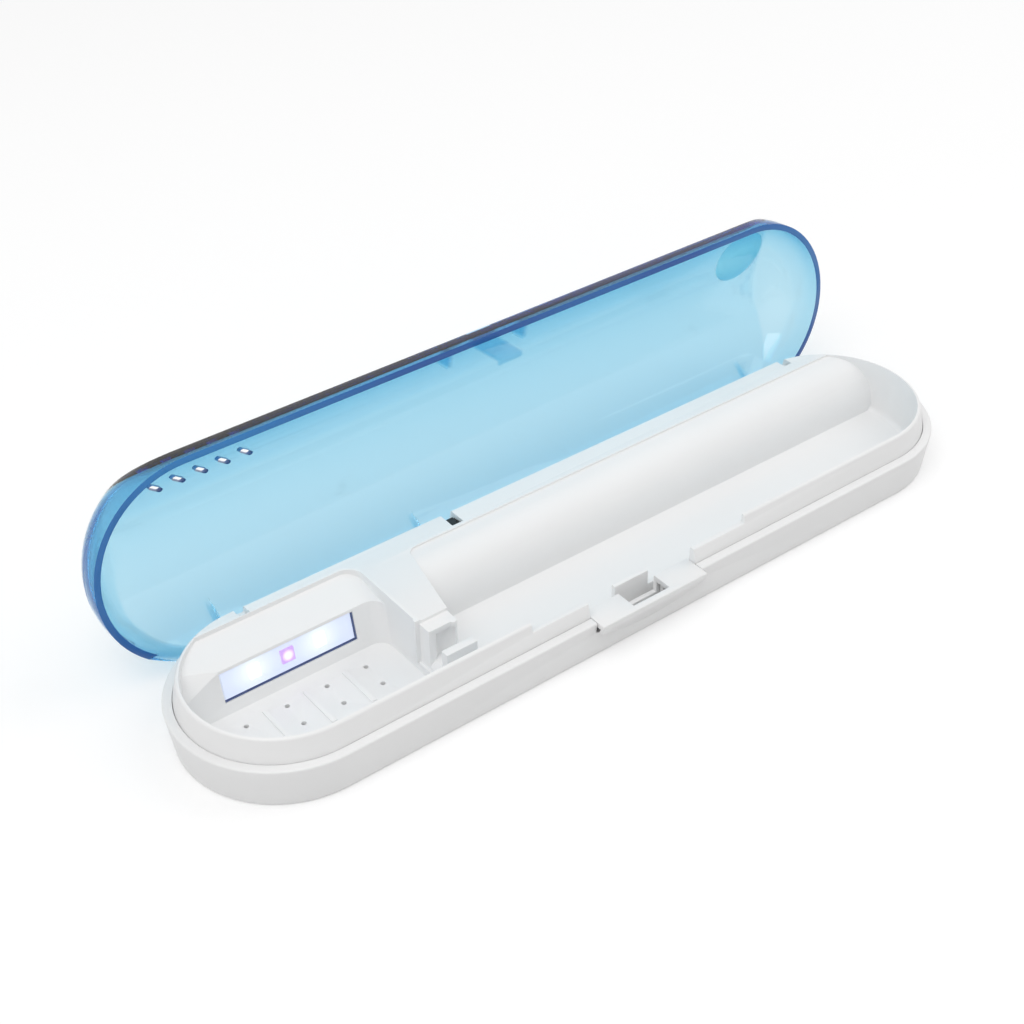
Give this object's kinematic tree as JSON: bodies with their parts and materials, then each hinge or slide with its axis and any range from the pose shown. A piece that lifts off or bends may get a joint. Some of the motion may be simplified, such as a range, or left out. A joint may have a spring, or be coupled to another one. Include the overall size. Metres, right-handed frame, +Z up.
{
  "type": "electric toothbrush travel case",
  "caption": "Long round-ended travel case for an electric toothbrush: hinged translucent lid, press latch, handle trough and a lit chamber for the brush head.",
  "frame": {"origin": "centre of the flat underside", "axes": "+X along the case, head chamber at -X; +Y towards the hinge; +Z up"},
  "size_m": [0.236, 0.0823, 0.0566],
  "materials": {
    "shell_plastic": "satin off-white",
    "tray_plastic": "satin off-white",
    "lid_plastic": "clear tinted blue",
    "badge_plastic": "frosted blue",
    "steel": "plain",
    "cell_steel": "plain jacket",
    "board": "solder resist",
    "white_board": "white solder resist",
    "black_plastic": "moulded",
    "led_violet": "lit package",
    "led_white": "lit package",
    "window_quartz": "clear",
    "wire_red": "sheathed",
    "wire_grey": "sheathed"
  },
  "bodies": {
    "base": {"lower_shell": "shell_plastic", "inner_tray": "tray_plastic", "battery_spring": "steel", "battery_contacts": "steel", "battery_cell_left": "cell_steel", "battery_cell_right": "cell_steel", "control_board": "board", "board_components": "black_plastic", "board_screws": "steel", "case_screws": "steel", "led_board": "white_board", "uvc_led": "led_violet", "side_leds": "led_white", "uv_window": "window_quartz", "lid_switch_body": "black_plastic", "lid_switch_spring": "steel", "latch_springs": "steel", "hinge_pin_left": "steel", "hinge_pin_right": "steel", "power_wires": "wire_red", "led_wires": "wire_grey"},
    "lid": {"lid_shell": "lid_plastic", "lid_badge": "badge_plastic"},
    "latch_button": {"latch_button": "shell_plastic"},
    "switch_plunger": {"lid_switch_plunger": "black_plastic"},
    "battery_door": {"battery_door": "shell_plastic"}
  },
  "joints": [
    {"name": "lid_hinge", "type": "hinge", "parent": "base", "child": "lid", "pos_m": [0, 0.0244, 0.005], "axis": [1, 0, 0], "range_deg": [0, 95]},
    {"name": "latch_press", "type": "slide", "parent": "base", "child": "latch_button", "axis": [0, 1, 0], "range_m": [0, 0.0012], "stiffness_N_per_m": 400, "deforming": ["latch_springs"]},
    {"name": "switch_press", "type": "slide", "parent": "base", "child": "switch_plunger", "axis": [0, 0, -1], "range_m": [0, 0.0015], "stiffness_N_per_m": 150, "deforming": ["lid_switch_spring"]},
    {"name": "battery_door_slide", "type": "slide", "parent": "base", "child": "battery_door", "axis": [-1, 0, 0], "range_m": [0, 0.007]}
  ]
}
